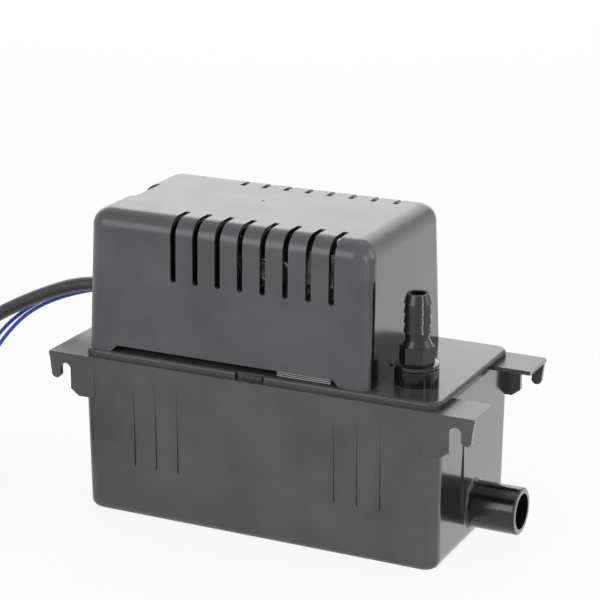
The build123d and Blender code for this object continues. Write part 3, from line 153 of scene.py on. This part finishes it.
# Shades and gloss of the four moulded plastics, which are black above the height darkAbove, in metres
mouldedLook = {
    "cover": {
        "colour": (0.066, 0.066, 0.074), "rough": 0.31, "endRough": 0.13, "grain": 0.00004, "coat": 0.8,
        "index": 1.5, "darkAbove": 1.0,
    },
    "tank": {
        "colour": (0.062, 0.061, 0.062), "rough": 0.33, "endRough": 0.14, "grain": 0.00004, "coat": 0.85,
        "index": 1.5, "darkAbove": 1.0,
    },
    "lid": {
        "colour": (0.060, 0.060, 0.063), "rough": 0.13, "endRough": 0.13, "grain": 0.00001, "coat": 0.2,
        "index": 1.33, "darkAbove": 0.0985,
    },
    "valve": {
        "colour": (0.009, 0.009, 0.010), "rough": 0.19, "endRough": 0.19, "grain": 0.00001, "coat": 0.0,
        "index": 1.5, "darkAbove": 1.0,
    },
}
mottle = {
    "scale": 26.0, "detail": 5.0, "roughness": 0.6, "dark": 0.84, "light": 1.16, "low": 0.35, "high": 0.65,
}
paintedEndShade = 0.92  # painted shade: how far the ends' colour is darkened towards black, so that their gloss tells
spigot = {"y": 0.003, "z": 0.02075, "radius": 0.0152, "start": 0.1}  # painted dark reflection: the drain spigot and its root are coloured black like the valve


# Moulded plastic: satin on the long sides, glossier on the ends with painted shade darkening their colour,
# and painted dark on the drain spigot for its dark reflection
def mouldedPlastic(name, look):
    r = Recipe(bpy.data.materials.new(name))
    cloud = r.noise(mottle["scale"], mottle["detail"], mottle["roughness"])
    speck = r.noise(2600.0, 2.0)
    flow = r.noise(60.0, 3.0, 0.6, r.stretch(r.place(), (1, 1, 0.25)))
    facing = r.add("ShaderNodeSeparateXYZ", {}, {"Vector": r.add("ShaderNodeNewGeometry", output="Normal")})
    onEnd = r.range(abs(facing), 0, 1, 0.80, 0.95)
    away, side, height = (r.add("ShaderNodeSeparateXYZ", {}, {"Vector": r.place()}, axis) for axis in "XYZ")
    offSide, offHeight = side - spigot["y"], height - spigot["z"]
    apart = offSide * offSide + offHeight * offHeight
    onSpigot = (away > spigot["start"]) * (apart < spigot["radius"] ** 2)
    moulded = r.mottled(cloud, look["colour"], mottle["dark"], mottle["light"], mottle["low"], mottle["high"])
    # painted shade: the end faces' colour goes towards black
    withPaintedEndShade = r.blend(onEnd * paintedEndShade, moulded, grey(0.004))
    # black above darkAbove, and painted dark reflection on the drain spigot
    dark = onSpigot.larger(height > look["darkAbove"])
    base = r.blend(dark, withPaintedEndShade, (*mouldedLook["valve"]["colour"], 1))
    satin = r.range(onEnd.larger(onSpigot), look["rough"], look["endRough"])
    return r.finish({
        "Base Color": base,
        "Roughness": satin + (flow - 0.5) * 0.08 + (speck - 0.5) * 0.05,
        "Coat Weight": onEnd * look["coat"],
        "Coat Roughness": 0.10,
        "IOR": look["index"],
        "Normal": r.bump(speck, look["grain"] * 2, 0.35),
    })


def plainPlastic(name, colour, rough=0.4):
    r = Recipe(bpy.data.materials.new(name))
    cloud = r.noise(40.0, 3.0)
    speck = r.noise(2200.0, 2.0)
    return r.finish({
        "Base Color": r.mottled(cloud, colour, 0.86, 1.1),
        "Roughness": r.range(cloud, rough - 0.06, rough + 0.08),
        "Normal": r.bump(speck, 0.00003, 0.4),
    })


def rubber(name, colour, rough=0.5):
    r = Recipe(bpy.data.materials.new(name))
    cloud = r.noise(55.0, 4.0)
    speck = r.noise(1500.0, 3.0)
    return r.finish({
        "Base Color": r.mottled(cloud, colour, 0.8, 1.2),
        "Roughness": r.range(speck, rough - 0.08, rough + 0.1),
        "Normal": r.bump(speck, 0.00003, 0.5),
    })


def metal(name, colour, rough=0.3, lines=(1, 1, 40)):
    r = Recipe(bpy.data.materials.new(name))
    streak = r.noise(160.0, 3.0, 0.6, r.stretch(r.place(), lines))
    cloud = r.noise(35.0, 4.0)
    return r.finish({
        "Base Color": r.mottled(cloud, colour, 0.84, 1.06),
        "Metallic": 1.0,
        "Roughness": r.range(streak, rough - 0.07, rough + 0.12),
        "Normal": r.bump(streak, 0.00003, 0.5),
    })


print("finishes")
finishes = {
    "cover_plastic": mouldedPlastic("coverPlastic", mouldedLook["cover"]),
    "tank_plastic": mouldedPlastic("tankPlastic", mouldedLook["tank"]),
    "lid_plastic": mouldedPlastic("lidPlastic", mouldedLook["lid"]),
    "valve_plastic": mouldedPlastic("valvePlastic", mouldedLook["valve"]),
    "zinc": metal("zincPlate", (0.62, 0.62, 0.58), 0.28),
    "lamination": metal("lamination", (0.40, 0.40, 0.41), 0.35, (1, 1, 60)),
    "bobbin_plastic": plainPlastic("bobbinNylon", (0.72, 0.70, 0.62)),
    "coil_tape": plainPlastic("coilTape", (0.62, 0.46, 0.08), 0.3),
    "copper": metal("bareCopper", (0.80, 0.42, 0.24), 0.3),
    "rotor_steel": metal("rotorSteel", (0.46, 0.46, 0.48), 0.3),
    "shaft_steel": metal("shaftSteel", (0.60, 0.60, 0.62), 0.2),
    "bracket_metal": metal("dieCastZinc", (0.52, 0.52, 0.52), 0.45, (1, 1, 1)),
    "bronze": metal("sinteredBronze", (0.55, 0.36, 0.16), 0.5, (1, 1, 1)),
    "fan_plastic": plainPlastic("fanNylon", (0.70, 0.69, 0.63)),
    "pump_plastic": plainPlastic("pumpPlastic", (0.030, 0.030, 0.033)),
    "impeller_plastic": plainPlastic("impellerPlastic", (0.04, 0.04, 0.045)),
    "hose": rubber("vinylHose", (0.06, 0.06, 0.065), 0.3),
    "seal": rubber("nitrileSeal", (0.018, 0.018, 0.018)),
    "ball_rubber": rubber("ballRubber", (0.03, 0.03, 0.03)),
    "float_plastic": plainPlastic("floatFoam", (0.72, 0.71, 0.66), 0.7),
    "rod_steel": metal("stainlessRod", (0.60, 0.61, 0.62), 0.22),
    "collar_plastic": plainPlastic("collarNylon", (0.68, 0.68, 0.64)),
    "guide_plastic": plainPlastic("guideAcetal", (0.70, 0.70, 0.67)),
    "plate_steel": metal("platedSteel", (0.55, 0.55, 0.54), 0.32, (40, 1, 1)),
    "lever_plastic": plainPlastic("leverAcetal", (0.60, 0.60, 0.56)),
    "switch_plastic": plainPlastic("switchCase", (0.03, 0.027, 0.027), 0.35),
    "plunger_plastic": plainPlastic("redPlunger", (0.45, 0.03, 0.02), 0.3),
    "terminal_metal": metal("tinnedBrass", (0.72, 0.66, 0.50), 0.3),
    "relief_rubber": rubber("reliefVinyl", (0.020, 0.020, 0.021), 0.42),
    "green_wire": plainPlastic("greenWire", (0.02, 0.22, 0.05), 0.35),
    "white_wire": plainPlastic("whiteWire", (0.75, 0.75, 0.73), 0.35),
    "black_wire": plainPlastic("blackWire", (0.02, 0.02, 0.02), 0.35),
    "cord_jacket": rubber("cordJacket", (0.021, 0.021, 0.023), 0.36),
    "plug_rubber": rubber("plugVinyl", (0.020, 0.020, 0.021), 0.4),
    "plug_brass": metal("plugBlades", (0.78, 0.68, 0.44), 0.22),
    "blue_wire": plainPlastic("blueWire", (0.035, 0.075, 0.55), 0.32),
}
for part in record["subparts"]:
    node = frame["nodes"][part["node"]]
    node.data.materials.clear()
    node.data.materials.append(finishes[part["material_slot"]])


def asMesh(name, shape):
    mesh = bpy.data.meshes.new(name)
    shape.to_mesh(mesh)
    shape.free()
    return mesh


def boxMesh(name, low, high, edge):
    shape = bmesh.new()
    bmesh.ops.create_cube(shape, size=1)
    for corner in shape.verts:
        corner.co = Vector([(l + h) / 2 + c * (h - l) for l, h, c in zip(low, high, corner.co)]) * mm
    bmesh.ops.bevel(shape, geom=shape.edges[:], offset=edge * mm, segments=2, profile=0.5, affect="EDGES")
    return asMesh(name, shape)


def rodMesh(name, radius, length):
    shape = bmesh.new()
    bmesh.ops.create_cone(
        shape, cap_ends=True, segments=12, radius1=radius * mm, radius2=radius * mm, depth=length * mm,
    )
    bmesh.ops.translate(shape, verts=shape.verts, vec=(0, 0, length * mm / 2))
    return asMesh(name, shape)


# A node tree that copies the unit it is given along a line, or round a ring with one in the middle
def copyTree(name, sizes, ring):
    tree = bpy.data.node_groups.new(name, "GeometryNodeTree")
    face = tree.interface
    face.new_socket("Unit", in_out="INPUT", socket_type="NodeSocketGeometry")
    for label, kind in sizes.items():
        face.new_socket(label, in_out="INPUT", socket_type="NodeSocket" + kind)
    face.new_socket("Copies", in_out="OUTPUT", socket_type="NodeSocketGeometry")
    nodes, links = tree.nodes, tree.links
    given, result = nodes.new("NodeGroupInput"), nodes.new("NodeGroupOutput")
    place = nodes.new("GeometryNodeInstanceOnPoints")
    if ring:
        circle = nodes.new("GeometryNodeMeshCircle")
        links.new(given.outputs["Count"], circle.inputs["Vertices"])
        links.new(given.outputs["Ring"], circle.inputs["Radius"])
        middle = nodes.new("GeometryNodeMeshLine")
        middle.inputs["Count"].default_value = 1
        both = nodes.new("GeometryNodeJoinGeometry")
        links.new(circle.outputs["Mesh"], both.inputs[0])
        links.new(middle.outputs["Mesh"], both.inputs[0])
        links.new(both.outputs[0], place.inputs["Points"])
    else:
        line = nodes.new("GeometryNodeMeshLine")
        links.new(given.outputs["Count"], line.inputs["Count"])
        links.new(given.outputs["Step"], line.inputs["Offset"])
        links.new(line.outputs["Mesh"], place.inputs["Points"])
    real, paint = nodes.new("GeometryNodeRealizeInstances"), nodes.new("GeometryNodeSetMaterial")
    links.new(given.outputs["Unit"], place.inputs["Instance"])
    links.new(given.outputs["Material"], paint.inputs["Material"])
    links.new(place.outputs[0], real.inputs[0])
    links.new(real.outputs[0], paint.inputs[0])
    links.new(paint.outputs[0], result.inputs[0])
    return tree


# The copies as a plain mesh, with the modifier gone
def copies(name, unit, tree, values):
    maker = bpy.data.objects.new(name + "Maker", unit)
    scene.collection.objects.link(maker)
    modifier = maker.modifiers.new("copies", "NODES")
    modifier.node_group = tree
    for item in tree.interface.items_tree:
        if item.in_out == "INPUT" and item.name in values:
            modifier[item.identifier] = values[item.name]
    graph = bpy.context.evaluated_depsgraph_get()
    mesh = bpy.data.meshes.new_from_object(maker.evaluated_get(graph))
    mesh.name = name
    bpy.data.objects.remove(maker)
    return mesh


def riding(name, mesh, body):
    piece = bpy.data.objects.new(name, mesh)
    scene.collection.objects.link(piece)
    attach(piece, body)
    return piece


print("lid reflection sheets")
# painted reflection: four lamination sheets laid on the lid top where the motor's laminations show mirrored
# in the glossy lid
sheets = {"low": (11.5, -49.2, 97.35), "high": (44.0, -42.0, 97.8), "edge": 0.15, "count": 4, "step": 0.98}
alongLine = copyTree("alongLine", {"Count": "Int", "Step": "Vector", "Material": "Material"}, False)
reflectionSheetCopies = copies(
    "lidReflectionSheets", boxMesh("reflectionSheetUnit", sheets["low"], sheets["high"], sheets["edge"]), alongLine,
    {"Count": sheets["count"], "Step": (0, 0, sheets["step"] * mm), "Material": finishes["lamination"]},
)
riding("lidReflectionSheets", reflectionSheetCopies, "pump_body")


def nurbs(name, points, radius, material):
    curve = bpy.data.curves.new(name, "CURVE")
    curve.dimensions = "3D"
    curve.bevel_depth = radius
    curve.bevel_resolution = 5
    curve.use_fill_caps = True
    spline = curve.splines.new("NURBS")
    spline.points.add(len(points) - 1)
    for place, point in zip(spline.points, points):
        place.co = (*[v * mm for v in point], 1)
    spline.order_u = 3
    spline.use_endpoint_u = True
    spline.resolution_u = 12
    curve.materials.append(material)
    piece = bpy.data.objects.new(name, curve)
    scene.collection.objects.link(piece)
    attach(piece, "pump_body")
    return piece


cordShape = {
    "radius": 4.25,
    "exit": (-115.2, 0, 118),
    "fall": [
        (-136, 0, 118), (-166, 0, 107), (-203, 0, 87.8), (-223.7, 4.5, 71.4),
        (-243.1, 8.5, 53.6), (-258.8, 4.2, 33.1), (-269, -11.3, 15.2),
    ],
    "coilMiddle": (-221.8, -87.1),
    "innerTurn": 38.25,
    "outerTurn": 46.75,
    "entryHeading": 273.7,
    "entryStraight": 31.0,
    "entryPoint": 0.55,
    "lastRun": 25.3,
    "tailStart": 8,
    "plugStraight": 32.5,
    "pointsPerTurn": 16,
    "wholeTurns": 5,
    "crossing": 0.22,
}


# The cord from the strain relief down to the floor, round the coil and out to the plug
def powerCordPoints(shape):
    r = shape["radius"]
    heading = math.radians(shape["entryHeading"])
    step = Vector((math.cos(heading), math.sin(heading)))
    startTurn = heading - math.pi / 2
    middle = Vector(shape["coilMiddle"])
    inner, outer, layer = shape["innerTurn"], shape["outerTurn"], 2 * r
    entry = middle + outer * Vector((math.cos(startTurn), math.sin(startTurn)))
    stub = entry - shape["entryStraight"] * step
    landing = stub - shape["lastRun"] * step
    flat = [landing, stub, stub.lerp(entry, shape["entryPoint"])]
    points = [shape["exit"], *shape["fall"], *((*place, r) for place in flat)]
    # Each turn is (radius, height) and the cord crosses to the next one as it comes round
    turns = [
        (outer, r), (inner, r), (inner, r + layer), (inner, r + 2 * layer), (outer, r + 2 * layer),
        (outer, r + layer),
    ]
    count = shape["pointsPerTurn"]
    bulge = 1 / math.cos(math.pi / count)
    lastAngle = math.radians(270) - startTurn + 2 * math.pi * shape["wholeTurns"]
    angle = math.pi / count
    while angle < lastAngle:
        turn = angle / (2 * math.pi)
        number = int(turn)
        here = turns[number]
        part = turn - number
        if number and part < shape["crossing"]:
            before = turns[number - 1]
            share = part / shape["crossing"]
            here = tuple(b + (h - b) * share for b, h in zip(before, here))
        around = startTurn + angle
        out = here[0] * bulge
        points.append((middle.x + out * math.cos(around), middle.y + out * math.sin(around), here[1]))
        angle += 2 * math.pi / count
    tailY = middle.y - outer
    return points + [(middle.x + shape[run], tailY, r + layer) for run in ("tailStart", "plugStraight")]


print("cords")
cord = nurbs("powerCord", powerCordPoints(cordShape), cordShape["radius"] * mm, finishes["cord_jacket"])
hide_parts("power_cord_tube", "power_cord_coil")

leadRadius = 1.2
leadRoutes = {
    "safety_lead_a": [
        (-96.7, 10.6, 118.4), (-115, 10.6, 118.4), (-152, 9.5, 110.5), (-184, 11, 93.5),
        (-206, 13, 75.5), (-223, 17, 54), (-234, 22, 31), (-242, 29, 11),
        (-252, 39, leadRadius), (-266, 45, leadRadius),
    ],
    "safety_lead_b": [
        (-96.7, 10.6, 114.6), (-116, 10.6, 114.6), (-150, 8.5, 107.5), (-181, 8, 93),
        (-202, 9, 72.5), (-219, 12, 49), (-232, 14.5, 27), (-243, 16.5, 9),
        (-256, 20, leadRadius), (-265, 30, leadRadius),
    ],
}
print("bare strands")  # each lead ends in seven
strand = {"radius": 0.24, "ring": 0.46, "round": 6, "length": 8.0}
roundMiddle = copyTree("roundMiddle", {"Count": "Int", "Ring": "Float", "Material": "Material"}, True)
bundle = copies(
    "strandBundle", rodMesh("strand", strand["radius"], strand["length"]), roundMiddle,
    {"Count": strand["round"], "Ring": strand["ring"] * mm, "Material": finishes["copper"]},
)
bareEnds = bmesh.new()
for route in leadRoutes.values():
    last, end = Vector(route[-2]), Vector(route[-1])
    one = bundle.copy()
    one.transform(Matrix.Translation(end * mm) @ (end - last).to_track_quat("Z", "Y").to_matrix().to_4x4())
    bareEnds.from_mesh(one)
bareMesh = asMesh("bareStrands", bareEnds)
bareMesh.materials.append(finishes["copper"])
bareStrands = riding("bareStrands", bareMesh, "pump_body")
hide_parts("lead_bare_ends")

for node, route in leadRoutes.items():
    lead = nurbs("safetyLead" + node[-1].upper(), route, leadRadius * mm, finishes["blue_wire"])
    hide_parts(node)


stage = {"size": 8.0, "dark": 0.84, "light": 0.88, "glow": 0.9, "skyLight": 0.55, "skySeen": 1.0}


# The floor is white to the camera and to reflections, and keeps a part of its own shade
def stageMaterial(name):
    r = Recipe(bpy.data.materials.new(name))
    glossy = r.ray("Is Glossy Ray")
    shade = r.blend(r.noise(2.0, 2.0), grey(stage["dark"]), grey(stage["light"]))
    paint = r.add("ShaderNodeBsdfDiffuse", {}, {"Color": shade})
    glow = r.add("ShaderNodeEmission", {}, {"Color": grey(1), "Strength": 1.0})
    seen = glossy.larger(r.ray("Is Camera Ray") * stage["glow"])
    surface = r.add("ShaderNodeMixShader", {}, {0: seen, 1: paint, 2: glow})
    r.add("ShaderNodeOutputMaterial", {}, {"Surface": surface})
    return r.owner


def plane(name, size, z):
    half = size / 2
    mesh = bpy.data.meshes.new(name)
    corners = [(-half, -half, z), (half, -half, z), (half, half, z), (-half, half, z)]
    mesh.from_pydata(corners, [], [(0, 1, 2, 3)])
    obj = bpy.data.objects.new(name, mesh)
    scene.collection.objects.link(obj)
    return obj


print("floor and light")
floor = plane("floor", stage["size"], 0)
floor.data.materials.append(stageMaterial("paleFloor"))

# The world is white where it is seen, and lights the pump at a lower level
studio = Recipe(bpy.data.worlds.new("studio"))
scene.world = studio.owner
seenSky = studio.ray("Is Camera Ray").larger(studio.ray("Is Glossy Ray"))
sky = studio.range(seenSky, stage["skyLight"], stage["skySeen"])
background = studio.add("ShaderNodeBackground", {}, {"Color": grey(1), "Strength": sky})
studio.add("ShaderNodeOutputWorld", {}, {"Surface": background})

lamps = {
    "behind": {"place": (-0.86, 1.80, 0.90), "aim": (0, 0, 0.15), "size": (2.6, 1.15), "power": 16.5},
    "overhead": {"place": (0.1, 0.3, 1.5), "aim": (0, 0, 0.12), "size": (1.4, 1.0), "power": 2},
    "rightSide": {"place": (1.6, 0.5, 0.7), "aim": (0.05, 0, 0.1), "size": (0.9, 1.2), "power": 6},
    "front": {"place": (-0.7, -1.7, 0.9), "aim": (0, 0, 0.1), "size": (1.2, 1.0), "power": 11},
    "edge": {"place": (1.7, -0.85, 0.45), "aim": (0.06, -0.05, 0.1), "size": (0.22, 1.0), "power": 7},
}
for name, lamp in lamps.items():
    light = bpy.data.lights.new(name, "AREA")
    light.shape = "RECTANGLE"
    light.size, light.size_y = lamp["size"]
    light.energy = lamp["power"]
    obj = bpy.data.objects.new(name, light)
    scene.collection.objects.link(obj)
    obj.location = lamp["place"]
    aim = Vector(lamp["aim"]) - Vector(lamp["place"])
    obj.rotation_euler = aim.to_track_quat("-Z", "Y").to_euler()

print("camera")
view = {
    "azimuth": 25.50, "elevation": 17.36, "roll": 0.165, "distance": 1.21262,
    "target": (0.00206, 0, 0.12536), "focalPixels": 2158.67, "framePixels": 600,
}
turn, tilt, roll = (math.radians(view[k]) for k in ("azimuth", "elevation", "roll"))
back = Vector((math.sin(turn) * math.cos(tilt), -math.cos(turn) * math.cos(tilt), math.sin(tilt)))
right = Vector((math.cos(turn), math.sin(turn), 0))
up = back.cross(right)
rolledRight = math.cos(roll) * right + math.sin(roll) * up
rolledUp = -math.sin(roll) * right + math.cos(roll) * up
eye = Vector(view["target"]) + view["distance"] * back
cameraData = bpy.data.cameras.new("camera")
cameraData.sensor_fit = "HORIZONTAL"
cameraData.sensor_width = 36
cameraData.lens = view["focalPixels"] / view["framePixels"] * cameraData.sensor_width
camera = bpy.data.objects.new("camera", cameraData)
scene.collection.objects.link(camera)
columns = (rolledRight, rolledUp, back, eye)
camera.matrix_world = Matrix([[v[row] for v in columns] for row in range(3)] + [[0, 0, 0, 1]])
scene.camera = camera
scene.view_settings.view_transform = "Standard"
